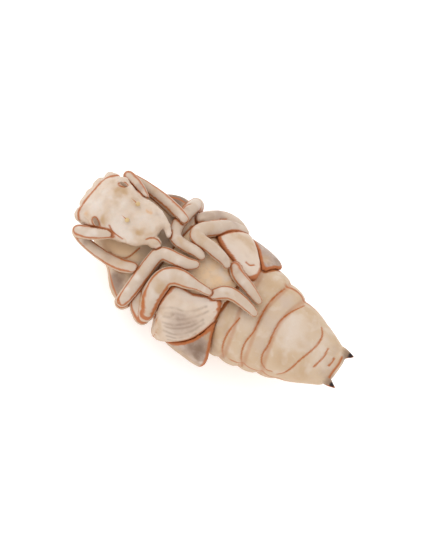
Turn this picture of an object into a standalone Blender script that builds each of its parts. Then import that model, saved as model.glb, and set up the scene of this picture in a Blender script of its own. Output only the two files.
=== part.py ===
"""The pupa of a broad-nosed weevil, lying on its back with the venter up.

The head points to -X, the tail to +X and the animal's left side to +Y. Shapes are drawn in
millimetres, and each finished piece is brought to metres with the origin under the middle.
"""

import math

import bmesh
import bpy
import numpy as np
from mathutils import Matrix, Vector

MM = 0.001  # metres
GAP = 0.05  # room between neighbouring pieces, mm
BACK_LEVEL = 0.0  # the back is worn flat at this height, so that the pupa lies still
SQUARENESS = 0.86  # below 1 a cross-section is fuller than an ellipse

TRUNK_SIDES = 24
HEAD_SIDES = 20
PROTHORAX_RINGS = 10
THORAX_RINGS = 7
HEAD_RINGS = 12
LEG_SIDES = 8
ANTENNA_SIDES = 8
SMALL_SIDES = 6  # eyes, mandibles and tail spines
STEPS_BETWEEN = 2  # rings drawn for each stretch between two points of a limb
END_ANGLES = (38, 68)  # rings of a limb's round end, degrees towards its tip
SHARP_EDGE = math.radians(48)

# Trunk profiles, mm: place along the body, how far the middle lies to the left, half width,
# level of the widest part, venter, back
PROTHORAX = (
    (-4.02, 0.00, 0.55, 1.20, 1.50, 0.90),
    (-3.92, 0.00, 0.86, 1.25, 1.70, 0.60),
    (-3.70, 0.02, 1.05, 1.40, 1.86, 0.34),
    (-3.38, 0.06, 1.18, 1.62, 2.02, 0.14),
    (-2.95, 0.10, 1.53, 1.74, 2.16, -0.02),
    (-2.50, 0.04, 1.96, 1.42, 2.28, -0.08),
    (-2.10, 0.00, 2.03, 1.34, 2.38, -0.06),
    (-1.75, 0.00, 1.90, 1.36, 2.44, 0.10),
    (-1.52, 0.00, 1.62, 1.38, 2.36, 0.36),
    (-1.42, 0.00, 1.20, 1.38, 2.10, 0.70),
)
THORAX = (
    (-1.80, 0.00, 1.15, 1.42, 2.24, 0.60),
    (-1.66, 0.00, 1.44, 1.42, 2.50, 0.32),
    (-1.30, 0.00, 1.58, 1.46, 2.70, 0.10),
    (-0.70, 0.00, 1.60, 1.50, 2.80, 0.04),
    (0.00, 0.02, 1.62, 1.52, 2.84, 0.04),
    (0.55, 0.04, 1.64, 1.56, 2.84, 0.06),
    (0.90, 0.05, 1.56, 1.58, 2.72, 0.20),
    (1.02, 0.05, 1.20, 1.58, 2.40, 0.60),
)
ABDOMEN = (
    (0.50, 0.06, 1.58, 1.62, 2.70, 0.10),
    (1.28, 0.09, 1.70, 1.80, 2.84, -0.08),
    (1.80, 0.09, 1.64, 1.90, 2.92, -0.10),
    (2.30, 0.08, 1.51, 2.00, 3.00, -0.06),
    (2.82, 0.06, 1.35, 2.12, 3.07, 0.22),
    (3.46, 0.05, 1.17, 2.34, 3.15, 0.74),
    (3.97, 0.03, 0.98, 2.50, 3.20, 1.30),
    (4.42, 0.02, 0.76, 2.64, 3.22, 1.92),
    (4.72, 0.00, 0.56, 2.76, 3.18, 2.36),
    (4.80, 0.00, 0.34, 2.80, 3.06, 2.56),
)
HEAD = (
    (-4.88, 0.00, 0.42, 2.10, 2.30, 1.90),
    (-4.78, 0.00, 0.76, 2.10, 2.52, 1.70),
    (-4.60, 0.00, 0.94, 2.13, 2.72, 1.52),
    (-4.36, 0.00, 1.01, 2.19, 2.89, 1.42),
    (-4.08, -0.02, 0.99, 2.27, 2.99, 1.40),
    (-3.76, -0.03, 0.92, 2.38, 3.05, 1.50),
    (-3.45, -0.04, 0.86, 2.52, 3.09, 1.76),
    (-3.02, -0.04, 0.81, 2.74, 3.12, 2.14),
    (-2.74, -0.03, 0.74, 2.86, 3.13, 2.42),
    (-2.48, -0.01, 0.62, 2.92, 3.10, 2.64),
    (-2.34, 0.00, 0.40, 2.95, 3.04, 2.80),
)

# Where one ring of the abdomen ends and the next begins, mm: on the venter, right, left and back,
# and the depth of the groove between them
RING_EDGES = (
    (0.50, 0.50, 0.50, 0.50, 0.06),
    (1.12, 1.64, 0.95, 1.50, 0.06),
    (1.82, 2.30, 2.04, 2.05, 0.06),
    (2.44, 2.92, 2.76, 2.62, 0.06),
    (3.80, 3.44, 3.62, 3.20, 0.02),
)
TAIL_END = 4.80
RING_FORM = ((0.13, -0.01), (0.5, 0.035), (0.87, 0.015))  # share of the ring, swell in mm
TAIL_FORM = ((0.14, 0.0), (0.32, 0.0), (0.5, 0.0), (0.66, 0.0), (0.8, 0.0), (0.92, 0.0), (1.0, -0.02))

# Limbs, mm: points of a centre line and the thickness there as a radius
TAIL_SPINES = (
    ((4.40, 0.40, 2.90, 0.18), (4.62, 0.47, 2.98, 0.14), (4.80, 0.54, 3.05, 0.08), (4.93, 0.59, 3.10, 0.03)),
    ((4.44, -0.42, 2.90, 0.18), (4.68, -0.50, 2.98, 0.14), (4.86, -0.56, 3.05, 0.08), (5.00, -0.60, 3.10, 0.03)),
)
EYES = (
    ((-4.27, -0.86, 2.58, 0.07), (-4.18, -0.88, 2.60, 0.12), (-4.08, -0.88, 2.60, 0.07)),
    ((-4.29, 0.84, 2.60, 0.07), (-4.20, 0.86, 2.62, 0.12), (-4.10, 0.86, 2.62, 0.07)),
)
MANDIBLES = (
    ((-2.36, -0.30, 2.86, 0.20), (-2.20, -0.28, 2.84, 0.21)),
    ((-2.42, 0.46, 2.90, 0.12), (-2.20, 0.34, 2.90, 0.14), (-2.04, 0.17, 2.88, 0.10)),
)
ANTENNA_RIGHT = (
    ((-3.46, -0.76, 2.68, 0.18), (-3.79, -1.01, 2.53, 0.21), (-4.11, -1.18, 2.34, 0.22), (-4.40, -1.26, 2.17, 0.20)),
    ((-4.43, -1.27, 2.02, 0.16), (-4.11, -1.34, 1.90, 0.17), (-3.64, -1.35, 1.87, 0.18), (-3.11, -1.35, 1.94, 0.20),
     (-2.66, -1.32, 2.16, 0.22), (-2.34, -1.25, 2.44, 0.19)),
)
ANTENNA_LEFT = (
    ((-3.38, 0.74, 2.72, 0.17), (-3.62, 0.91, 2.60, 0.19), (-3.93, 1.07, 2.41, 0.20), (-4.20, 1.20, 2.20, 0.19)),
    ((-4.22, 1.24, 2.04, 0.16), (-3.86, 1.34, 1.94, 0.17), (-3.35, 1.36, 1.99, 0.18), (-2.81, 1.27, 2.22, 0.20),
     (-2.35, 1.11, 2.52, 0.21), (-1.98, 0.97, 2.76, 0.18)),
)
FORE_LEG_RIGHT = (
    ((-1.84, -0.90, 2.20, 0.20), (-1.88, -1.44, 1.88, 0.26), (-1.94, -2.03, 1.46, 0.27)),
    ((-1.96, -2.12, 1.84, 0.21), (-1.95, -1.69, 2.18, 0.24), (-1.96, -1.03, 2.53, 0.24), (-1.94, -0.54, 2.70, 0.24),
     (-1.76, -0.36, 2.80, 0.24), (-1.39, -0.33, 2.94, 0.23), (-0.98, -0.25, 3.04, 0.21), (-0.82, -0.14, 3.06, 0.17)),
)
FORE_LEG_LEFT = (
    ((-1.84, 0.90, 2.20, 0.20), (-1.90, 1.64, 1.80, 0.26), (-1.94, 2.03, 1.48, 0.28)),
    ((-1.97, 1.86, 1.92, 0.23), (-2.03, 1.16, 2.36, 0.22), (-1.98, 0.64, 2.60, 0.20), (-1.84, 0.32, 2.72, 0.20),
     (-1.62, 0.23, 2.83, 0.20), (-1.31, 0.22, 2.95, 0.19), (-1.01, 0.25, 3.03, 0.18), (-0.84, 0.22, 3.05, 0.15)),
)
MIDDLE_LEG_RIGHT = (
    ((-1.62, -1.18, 2.18, 0.22), (-1.59, -1.63, 1.92, 0.26), (-1.46, -1.93, 1.71, 0.28), (-1.17, -2.07, 1.54, 0.27)),
    ((-1.10, -2.00, 1.86, 0.26), (-1.20, -1.80, 2.11, 0.30), (-1.31, -1.56, 2.36, 0.34), (-1.34, -1.26, 2.60, 0.35),
     (-1.30, -0.95, 2.82, 0.33), (-1.01, -0.77, 2.98, 0.30), (-0.66, -0.71, 3.06, 0.26), (-0.37, -0.66, 3.10, 0.16),
     (-0.14, -0.63, 3.12, 0.13), (0.05, -0.60, 3.10, 0.12)),
)
MIDDLE_LEG_LEFT = (
    ((-1.49, 1.58, 2.06, 0.25), (-1.20, 1.92, 1.86, 0.29), (-0.85, 2.17, 1.66, 0.31), (-0.50, 2.22, 1.60, 0.30),
     (-0.28, 2.16, 1.64, 0.26)),
    ((-0.22, 2.12, 1.84, 0.21), (-0.46, 1.98, 2.03, 0.25), (-0.77, 1.73, 2.28, 0.27), (-1.10, 1.32, 2.59, 0.27),
     (-1.33, 0.94, 2.82, 0.25), (-1.34, 0.68, 2.92, 0.23), (-1.06, 0.64, 3.01, 0.22), (-0.78, 0.64, 3.07, 0.22),
     (-0.46, 0.60, 3.10, 0.21), (-0.16, 0.57, 3.10, 0.17), (-0.02, 0.50, 3.08, 0.13)),
)
HIND_LEG_RIGHT = (
    ((0.20, -0.54, 2.86, 0.18), (0.38, -0.35, 3.04, 0.22), (0.62, -0.20, 3.13, 0.22),
     (1.01, -0.20, 3.20, 0.19), (1.39, -0.24, 3.22, 0.16), (1.60, -0.28, 3.22, 0.12)),
)
HIND_LEG_LEFT = (
    ((0.26, 0.66, 2.86, 0.20), (0.52, 0.44, 3.04, 0.22), (0.94, 0.31, 3.16, 0.20),
     (1.26, 0.19, 3.22, 0.16), (1.47, 0.13, 3.22, 0.13)),
)

# Round swellings, mm: centre, radius, and how far it is drawn out in height
HEAD_LOBES = (
    ((-4.64, -0.76, 2.12), 0.23, 1.5),
    ((-4.70, -0.40, 2.10), 0.20, 1.6),
    ((-4.68, -0.06, 2.10), 0.24, 1.6),
    ((-4.68, 0.36, 2.12), 0.21, 1.6),
    ((-4.58, 0.74, 2.18), 0.24, 1.5),
)
TUBERCLES = (
    ((-3.43, -0.33, 3.10), 0.085, 1.0),
    ((-3.45, 0.32, 3.10), 0.085, 1.0),
)

# Wing pads wrap the flank. Each row runs from a point of the pad's front edge to one of its hind
# edge. A point is given by degrees round the flank, with 0 at the side and 90 on the venter, and
# by its place along the body, mm. The first row is the tip
ELYTRON_RIGHT = (
    (77, 0.50, 75, 0.60), (76, 0.30, 67, 0.72), (71, -0.04, 58, 0.76), (67, -0.36, 47, 0.72),
    (66, -0.80, 34, 0.62), (62, -1.09, 24, 0.48), (50, -1.16, 11, 0.20), (35, -1.00, -1, -0.04),
    (15, -0.74, -15, -0.20), (-10, -0.72, -30, -0.34), (-32, -0.84, -45, -0.40), (-56, -1.00, -62, -0.44),
)
ELYTRON_LEFT = (
    (73, 0.86, 69, 1.01), (73, 0.70, 61, 1.02), (72, 0.44, 55, 0.93), (68, 0.16, 50, 0.84),
    (66, -0.03, 45, 0.72), (64, -0.28, 34, 0.52), (60, -0.58, 20, 0.24), (54, -0.80, 7, 0.02),
    (40, -0.98, -8, -0.18), (18, -1.02, -24, -0.32), (-10, -1.06, -40, -0.44), (-52, -1.10, -60, -0.56),
)
HIND_WING_RIGHT = (
    (82, 0.30, 82, 0.66), (72, 0.14, 70, 0.71), (60, 0.05, 57, 0.84), (50, -0.08, 47, 0.97),
    (38, -0.24, 36, 1.14), (24, -0.40, 28, 1.27), (10, -0.54, 17, 1.38), (0, -0.66, 3, 1.42),
    (-12, -0.78, -10, 1.34), (-25, -0.88, -20, 0.92), (-38, -0.94, -32, 0.34), (-52, -0.91, -52, -0.34),
)
HIND_WING_LEFT = (
    (66, -0.02, 66, 0.58), (58, 0.05, 57, 1.00), (50, -0.02, 50, 1.24), (43, -0.11, 43, 1.41),
    (35, -0.22, 35, 1.50), (25, -0.34, 26, 1.42), (12, -0.46, 16, 1.22), (2, -0.59, 4, 0.90),
    (-12, -0.72, -8, 0.52), (-25, -0.85, -20, 0.18), (-38, -0.94, -35, -0.14), (-52, -0.91, -52, -0.40),
)
FLANK_LEVEL = 1.47  # height of the line that the pads wrap about
ELYTRON_REACH = (2.33, 1.54)  # half width and half height of the elytra's outer face
HIND_WING_REACH = {"right": (2.24, 1.43), "left": (2.26, 1.46)}
ELYTRON_THICKNESS = (0.72, 0.40)  # at the front edge and at the hind edge
HIND_WING_THICKNESS = (0.62, 0.62)
STRIA_COUNT = 5
STRIA_DEPTH = 0.03  # on the right elytron, while the left one is smooth
FRONT_DROOP = (0.42, 0.10)  # how far a pad's front edge bends down at its side and on the venter, mm
DROOP_TURNS = (34, 60)  # degrees round the flank between which that changes
ELYTRON_DROOP = 0.2  # how far an elytron's hind edge bends down, mm
HIND_WING_DROOP = 0.06
PAD_STEPS = 12
PAD_ACROSS = 2 * STRIA_COUNT + 1  # points over the outer face
PAD_UNDER = 4  # points over the inner face
WING_PADS = ("elytron_right", "elytron_left", "hind_wing_right", "hind_wing_left")

# Colours are linear red, green and blue
BEIGE = (0.62, 0.45, 0.28)
TAN = (0.50, 0.33, 0.18)
LILAC = (0.42, 0.33, 0.30)


def through(knots, values, at):
    """Reads a smooth curve that passes through the values at the knots."""
    knots = np.asarray(knots, float)
    values = np.asarray(values, float).reshape(len(knots), -1)
    at = np.clip(np.asarray(at, float), knots[0], knots[-1])
    slopes = np.gradient(values, knots, axis=0)
    low = np.clip(np.searchsorted(knots, at, side="right") - 1, 0, len(knots) - 2)
    span = (knots[low + 1] - knots[low])[:, None]
    t = (at - knots[low])[:, None] / span
    start = values[low] * (2 * t**3 - 3 * t**2 + 1) + slopes[low] * span * (t**3 - 2 * t**2 + t)
    end = values[low + 1] * (3 * t**2 - 2 * t**3) + slopes[low + 1] * span * (t**3 - t**2)
    return start + end


def fuller(wave):
    """Pushes a sine or cosine outwards, so that a section is fuller than an ellipse."""
    return np.sign(wave) * np.abs(wave) ** SQUARENESS


def trunk_ring(profile, angles, along, swell=0.0):
    """Points round the trunk: angle 0 is its right side and a quarter turn is the venter."""
    table = np.array(profile)
    middle, half_width, widest, venter, back = through(table[:, 0], table[:, 1:], along).T
    reach = np.where(np.sin(angles) > 0, venter - widest, widest - back) + swell
    across = middle - (half_width + swell) * fuller(np.cos(angles))
    height = np.maximum(widest + reach * fuller(np.sin(angles)), BACK_LEVEL)
    return np.column_stack((along, across, height))


def round_angles(sides):
    return np.arange(sides) * 2 * math.pi / sides


def loft(rings):
    """A closed skin bridged from ring to ring, with each end drawn to the middle of its ring."""
    bm = bmesh.new()
    loops = []
    for ring in rings:
        points = [bm.verts.new(point) for point in ring]
        loops.append([bm.edges.new((a, b)) for a, b in zip(points, points[1:] + points[:1])])
    for near, far in zip(loops, loops[1:]):
        bmesh.ops.bridge_loops(bm, edges=near + far)
    ends = bmesh.ops.holes_fill(bm, edges=bm.edges, sides=0)["faces"]
    bmesh.ops.poke(bm, faces=ends)
    bmesh.ops.recalc_face_normals(bm, faces=bm.faces)
    return finished_form(bm)


def finished_form(bm):
    """Puts a finished shape into an object of its own, as a guide for the pieces to come."""
    mesh = bpy.data.meshes.new("form")
    bm.to_mesh(mesh)
    bm.free()
    form = bpy.data.objects.new("form", mesh)
    bpy.context.collection.objects.link(form)
    form.hide_render = True
    form.display_type = "WIRE"
    return form


def round_end(centre, outwards, radius):
    """Centres and radii that carry a limb on past its last point to a round end."""
    for angle in END_ANGLES:
        turn = math.radians(angle)
        yield centre + outwards * radius * math.sin(turn), radius * math.cos(turn)


def limb(points, sides):
    """A round limb along a smooth curve through the points, with round ends."""
    knots = np.arange(len(points))
    steps = np.linspace(0, len(points) - 1, STEPS_BETWEEN * (len(points) - 1) + 1)
    path = through(knots, points, steps)
    centres = [Vector(row[:3]) for row in path]
    radii = [float(row[3]) for row in path]
    forward = (centres[-1] - centres[-2]).normalized()
    backward = (centres[0] - centres[1]).normalized()
    front = list(round_end(centres[0], backward, radii[0]))[::-1]
    rear = list(round_end(centres[-1], forward, radii[-1]))
    stations = front + list(zip(centres, radii)) + rear
    heading = (stations[1][0] - stations[0][0]).normalized()
    side = heading.orthogonal().normalized()
    rings = []
    for index, (centre, radius) in enumerate(stations):
        before = stations[max(index - 1, 0)][0]
        after = stations[min(index + 1, len(stations) - 1)][0]
        turned = (after - before).normalized()
        side = (heading.rotation_difference(turned) @ side).normalized()
        heading = turned
        other = heading.cross(side)
        rings.append([
            centre + radius * (math.cos(angle) * side + math.sin(angle) * other)
            for angle in round_angles(sides)
        ])
    return loft(rings)


def swelling(centre, radius, tall):
    """A round lump, drawn out in height."""
    bm = bmesh.new()
    place = Matrix.Translation(centre) @ Matrix.Diagonal((1, 1, tall, 1))
    bmesh.ops.create_icosphere(bm, subdivisions=2, radius=radius, matrix=place)
    return finished_form(bm)


def barrel(profile, sides, stations):
    """A trunk piece with plain rings at even steps along its profile."""
    table = np.array(profile)
    angles = round_angles(sides)
    steps = through(np.arange(len(table)), table[:, 0], np.linspace(0, len(table) - 1, stations))
    return loft([trunk_ring(profile, angles, np.full(sides, step)) for step in steps[:, 0]])


def edge_line(venter, right, left, back, angles):
    """Where an edge between two rings of the abdomen runs at each angle round the trunk."""
    side = right * (1 + np.cos(angles)) / 2 + left * (1 - np.cos(angles)) / 2
    below = np.clip(np.sin(angles), 0, 1) ** 1.5
    above = np.clip(-np.sin(angles), 0, 1) ** 1.5
    return side + (venter - side) * below + (back - side) * above


def abdomen_rings():
    """The ringed abdomen: each ring swells between two grooves, and the last one is drawn out to the tail."""
    angles = round_angles(TRUNK_SIDES)
    starts = [edge_line(*edge[:4], angles) for edge in RING_EDGES]
    ends = [*starts[1:], np.full(TRUNK_SIDES, TAIL_END)]
    forms = [RING_FORM] * (len(starts) - 1) + [TAIL_FORM]
    rings = []
    for start, end, edge, form in zip(starts, ends, RING_EDGES, forms):
        for share, swell in ((0.0, -edge[4]), *form):
            rings.append(trunk_ring(ABDOMEN, angles, start + (end - start) * share, swell))
    return loft(rings)


def pad_section(row, reach, thickness, rear_droop, striae, side):
    """A wing pad's outline where one row cuts it across: a striated outer face over a plain inner one."""
    front_turn, front, rear_turn, rear = row
    over = np.linspace(-1, 1, PAD_ACROSS)
    under = np.linspace(1, -1, PAD_UNDER + 2)[1:-1]
    ridge = striae * np.cos(over * STRIA_COUNT * math.pi) * (1 - over**4)
    front_droop = np.interp(front_turn, DROOP_TURNS, FRONT_DROOP)
    outer = ridge - np.where(over < 0, front_droop * over**2, rear_droop * over**6)
    inner = -np.interp(under, (-1, 1), thickness)
    share = np.concatenate((over, under))
    depth = np.concatenate((outer, inner))
    turn = np.radians(np.interp(share, (-1, 1), (front_turn, rear_turn)))
    width, height = reach
    return np.column_stack((
        np.interp(share, (-1, 1), (front, rear)),
        side * (width + depth) * np.cos(turn),
        FLANK_LEVEL + (height + depth) * np.sin(turn),
    ))


def pad(rows, reach, thickness, rear_droop, striae, side):
    """A wing pad that wraps the flank from its tip on the venter to the back."""
    table = np.array(rows, float)
    steps = np.linspace(0, len(table) - 1, PAD_STEPS)
    path = through(np.arange(len(table)), table, steps)
    return loft([pad_section(row, reach, thickness, rear_droop, striae, side) for row in path])


def boolean(body, tool, operation, solver="EXACT"):
    """Changes a body by a tool with a Boolean and applies it."""
    modifier = body.modifiers.new(operation.lower(), "BOOLEAN")
    modifier.operation = operation
    modifier.solver = solver
    modifier.use_self = solver == "EXACT"
    modifier.object = tool
    depsgraph = bpy.context.evaluated_depsgraph_get()
    changed = bpy.data.meshes.new_from_object(body.evaluated_get(depsgraph))
    body.modifiers.clear()
    body.data = changed


def grown(form):
    """A copy of a form that is larger by the gap all over, to cut its neighbours with."""
    cutter = form.copy()
    bpy.context.collection.objects.link(cutter)
    room = cutter.modifiers.new("room", "DISPLACE")
    room.mid_level = 0
    room.strength = GAP
    return cutter


def box_of(form):
    points = np.array([corner[:] for corner in form.bound_box])
    return points.min(axis=0) - GAP, points.max(axis=0) + GAP


def apart(first, second):
    """Whether two forms' boxes, each with its gap, stay clear of each other."""
    (low, high), (other_low, other_high) = box_of(first), box_of(second)
    return bool(np.any(low > other_high) or np.any(other_low > high))


def joined(forms):
    """One body from several forms that run into each other."""
    body = forms[0].copy()
    body.data = forms[0].data.copy()
    bpy.context.collection.objects.link(body)
    for form in forms[1:]:
        boolean(body, form, "UNION")
    return body


def keep_largest(body):
    """Drops the loose crumbs that a cut can leave beside the piece."""
    bm = bmesh.new()
    bm.from_mesh(body.data)
    unseen = set(bm.faces)
    islands = []
    while unseen:
        island, front = set(), [unseen.pop()]
        while front:
            face = front.pop()
            island.add(face)
            for edge in face.edges:
                linked = [other for other in edge.link_faces if other in unseen]
                unseen.difference_update(linked)
                front.extend(linked)
        islands.append(island)
    islands.sort(key=lambda island: sum(face.calc_area() for face in island))
    crumbs = [face for island in islands[:-1] for face in island]
    bmesh.ops.delete(bm, geom=crumbs, context="FACES")
    bm.to_mesh(body.data)
    bm.free()


def cut_clear(body, forms, earlier, solver):
    """Cuts a body back from every form that was there before it."""
    for neighbour in earlier:
        if all(apart(form, neighbour) for form in forms):
            continue
        cutter = grown(neighbour)
        boolean(body, cutter, "DIFFERENCE", solver)
        bpy.data.objects.remove(cutter)


def cuticle(name, colour):
    """Dry waxy skin."""
    material = bpy.data.materials.new(name)
    material.use_nodes = True
    shader = material.node_tree.nodes["Principled BSDF"]
    shader.inputs["Base Color"].default_value = (*colour, 1)
    shader.inputs["Roughness"].default_value = 0.5
    shader.inputs["Metallic"].default_value = 0.0
    return material


def limb_forms(parts, sides=LEG_SIDES):
    return [limb(points, sides) for points in parts]


def trunk_forms():
    spines = limb_forms(TAIL_SPINES, SMALL_SIDES)
    head = [barrel(HEAD, HEAD_SIDES, HEAD_RINGS)]
    head += limb_forms(EYES + MANDIBLES, SMALL_SIDES)
    head += [swelling(*lump) for lump in HEAD_LOBES + TUBERCLES]
    return {
        "abdomen": ([abdomen_rings(), *spines], BEIGE),
        "prothorax": ([barrel(PROTHORAX, TRUNK_SIDES, PROTHORAX_RINGS)], LILAC),
        "thorax": ([barrel(THORAX, TRUNK_SIDES, THORAX_RINGS)], TAN),
        "head": (head, BEIGE),
    }


def appendage_forms():
    """Limbs and wing pads, each one laid against those named before it."""
    shield = (ELYTRON_REACH, ELYTRON_THICKNESS, ELYTRON_DROOP)
    wing = (HIND_WING_THICKNESS, HIND_WING_DROOP, 0.0)
    return {
        "middle_leg_right": (limb_forms(MIDDLE_LEG_RIGHT), BEIGE),
        "middle_leg_left": (limb_forms(MIDDLE_LEG_LEFT), BEIGE),
        "elytron_right": ([pad(ELYTRON_RIGHT, *shield, STRIA_DEPTH, -1)], BEIGE),
        "elytron_left": ([pad(ELYTRON_LEFT, *shield, 0.0, 1)], BEIGE),
        "hind_wing_right": ([pad(HIND_WING_RIGHT, HIND_WING_REACH["right"], *wing, -1)], LILAC),
        "hind_wing_left": ([pad(HIND_WING_LEFT, HIND_WING_REACH["left"], *wing, 1)], LILAC),
        "hind_leg_right": (limb_forms(HIND_LEG_RIGHT), BEIGE),
        "hind_leg_left": (limb_forms(HIND_LEG_LEFT), BEIGE),
        "fore_leg_right": (limb_forms(FORE_LEG_RIGHT), BEIGE),
        "fore_leg_left": (limb_forms(FORE_LEG_LEFT), BEIGE),
        "antenna_right": (limb_forms(ANTENNA_RIGHT, ANTENNA_SIDES), BEIGE),
        "antenna_left": (limb_forms(ANTENNA_LEFT, ANTENNA_SIDES), BEIGE),
    }


def to_metres(pieces):
    """Sets the pieces over the middle of their common box and brings them to metres."""
    points = np.array([vertex.co[:] for piece in pieces for vertex in piece.data.vertices])
    low, high = points.min(axis=0), points.max(axis=0)
    middle = Vector(((low[0] + high[0]) / 2, (low[1] + high[1]) / 2, low[2]))
    for piece in pieces:
        piece.data.transform(Matrix.Scale(MM, 4) @ Matrix.Translation(-middle))


def main():
    for thing in list(bpy.data.objects):
        bpy.data.objects.remove(thing)
    earlier, pieces = [], []
    for name, (forms, colour) in {**trunk_forms(), **appendage_forms()}.items():
        body = joined(forms)
        cut_clear(body, forms, earlier, "MANIFOLD" if name in WING_PADS else "EXACT")
        keep_largest(body)
        earlier += forms
        body.name = name
        body.data.name = name
        body.hide_render = False
        body.display_type = "TEXTURED"
        body.data.materials.clear()
        body.data.materials.append(cuticle(name, colour))
        body.data.shade_smooth()
        body.data.set_sharp_from_angle(angle=SHARP_EDGE)
        pieces.append(body)
    to_metres(pieces)


main()
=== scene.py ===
"""The pupa of a broad-nosed weevil on a pale floor, with its waxy skin, creases, eyes and hairs."""

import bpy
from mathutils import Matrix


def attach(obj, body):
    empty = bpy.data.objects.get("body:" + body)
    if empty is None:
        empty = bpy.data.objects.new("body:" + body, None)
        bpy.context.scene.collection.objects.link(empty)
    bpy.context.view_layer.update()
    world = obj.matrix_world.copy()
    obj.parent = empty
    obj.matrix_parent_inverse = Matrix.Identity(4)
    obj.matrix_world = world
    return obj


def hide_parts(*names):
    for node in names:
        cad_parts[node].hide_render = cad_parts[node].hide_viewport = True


bl_info = {
    "name": "Weevil Pupa",
    "version": (1, 0, 0),
    "blender": (4, 5, 0),
    "location": "View3D > Sidebar > Weevil Pupa",
    "description": "Dresses the solids of a weevil pupa in smooth, creased and tinted skin",
    "category": "Object",
}

import math

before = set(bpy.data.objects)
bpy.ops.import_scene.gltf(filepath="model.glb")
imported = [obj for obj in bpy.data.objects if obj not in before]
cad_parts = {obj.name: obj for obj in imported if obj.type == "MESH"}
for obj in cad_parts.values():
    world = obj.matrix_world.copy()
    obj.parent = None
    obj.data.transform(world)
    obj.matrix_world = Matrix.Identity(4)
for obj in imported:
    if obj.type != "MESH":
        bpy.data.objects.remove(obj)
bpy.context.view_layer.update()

import bpy
import numpy as np
from bpy.props import FloatProperty, FloatVectorProperty, IntProperty, PointerProperty
from mathutils import Matrix, Vector, noise
from mathutils.bvhtree import BVHTree
from mathutils.kdtree import KDTree

MM = 0.001  # metres
IMAGE_SIZE = (423, 560)
IMAGE_POINT = 0.032  # mm of the animal that one image point spans
SENSOR = 36.0  # mm

LIMBS = (
    "antenna_right", "antenna_left", "fore_leg_right", "fore_leg_left", "middle_leg_right",
    "middle_leg_left", "hind_leg_right", "hind_leg_left",
)
PADS = ("elytron_right", "elytron_left", "hind_wing_right", "hind_wing_left")

# Lines on the skin, as points in the picture: where each one starts, turns and ends
SEAMS = {
    "head": (
        ((109.3, 225.7), (112.1, 231.4), (117.1, 235.7), (122.0, 239.0)),
        ((146.5, 239.2), (150.0, 238.2), (154.3, 237.9), (158.6, 240.0), (161.6, 244.5)),
        ((119.3, 185.2), (118.6, 183.4), (121.4, 182.0), (125.7, 182.3), (127.9, 184.3), (125.7, 186.5),
         (122.1, 186.3), (119.3, 185.2)),
        ((95.0, 227.0), (92.6, 223.6), (91.8, 219.8), (93.2, 217.2), (95.2, 217.0), (97.2, 219.2),
         (98.8, 222.4), (99.7, 226.4)),
    ),
    "prothorax": (
        ((118.6, 257.9), (122.5, 258.2), (127.9, 257.1), (133.6, 252.9), (139.3, 247.9)),
    ),
    "fore_leg_right": (
        ((119.9, 304.0), (118.4, 299.5), (120.4, 294.0), (124.5, 287.0), (129.0, 280.6)),
    ),
    "fore_leg_left": (
        ((183.0, 208.6), (184.4, 206.9), (187.0, 204.8), (190.0, 203.6)),
    ),
    "middle_leg_right": (
        ((140.8, 290.8), (142.1, 298.5), (143.4, 306.1), (141.4, 311.2), (140.8, 314.4)),
    ),
    "middle_leg_left": (
        ((191.0, 223.6), (200.7, 222.1), (213.6, 220.0), (226.5, 219.3)),
    ),
    "elytron_left": (
        ((246.2, 262.0), (250.0, 265.0), (254.2, 264.7)),
    ),
    "abdomen": (
        ((210.0, 353.0), (211.7, 333.0), (220.0, 311.7), (227.5, 300.8), (233.3, 299.2), (240.8, 302.5),
         (246.7, 308.3), (254.0, 315.0)),
        ((239.2, 318.0), (233.3, 325.0), (227.5, 333.3), (223.3, 343.3), (222.2, 351.7), (223.3, 357.5)),
        ((285.0, 288.3), (276.7, 295.0), (266.7, 306.7), (260.0, 318.3), (253.3, 331.7), (245.0, 343.3),
         (241.3, 355.0), (242.0, 366.7)),
        ((304.2, 305.3), (290.0, 312.5), (280.0, 321.7), (273.3, 333.3), (268.3, 345.0), (262.5, 355.0),
         (261.7, 363.3), (265.8, 369.7), (271.7, 371.7)),
        ((322.0, 327.5), (322.5, 335.0), (318.3, 343.3), (310.0, 351.7), (300.0, 360.0), (290.0, 369.2),
         (283.3, 373.3), (277.5, 374.5)),
        ((328.0, 348.7), (325.0, 355.0), (320.0, 360.8), (313.8, 366.7)),
        ((334.2, 358.0), (332.5, 361.7), (328.8, 365.5)),
    ),
}
# Wider, unpressed lines along the fold of the prothorax, the head's edge and the tail's end
FOLDS = {
    "head": (
        ((121.0, 174.8), (107.0, 177.8), (94.4, 189.6), (84.8, 201.6), (78.2, 213.0), (78.8, 219.6)),
    ),
    "prothorax": (
        ((108.5, 267.5), (110.3, 276.0), (112.3, 284.0), (115.5, 293.0), (119.0, 300.0)),
        ((166.0, 198.0), (172.0, 197.5), (180.0, 199.5), (184.0, 202.0)),
    ),
    "abdomen": (
        ((329.6, 377.0), (332.6, 372.2), (338.6, 364.4), (342.0, 357.6)),
    ),
}
STRIAE = {
    "elytron_right": (
        ((163.0, 308.0), (174.8, 308.2), (183.5, 311.4), (193.5, 310.8), (206.3, 306.5)),
        ((165.5, 313.0), (176.0, 314.0), (184.5, 315.6)),
        ((163.5, 316.5), (170.1, 318.5), (177.5, 319.5), (193.5, 317.5), (208.0, 311.5)),
        ((162.8, 322.0), (170.0, 324.6), (182.0, 324.4), (196.0, 320.6)),
        ((164.0, 326.0), (170.0, 328.0), (177.5, 328.6), (190.0, 326.6), (203.0, 319.8)),
        ((163.5, 330.5), (168.0, 332.4), (173.5, 334.3), (181.5, 334.3), (192.2, 330.9), (203.5, 323.5)),
        ((167.0, 336.0), (176.0, 338.2), (188.0, 335.8)),
        ((168.0, 339.8), (177.5, 341.0), (186.9, 339.5), (196.0, 333.5)),
    ),
}

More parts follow.
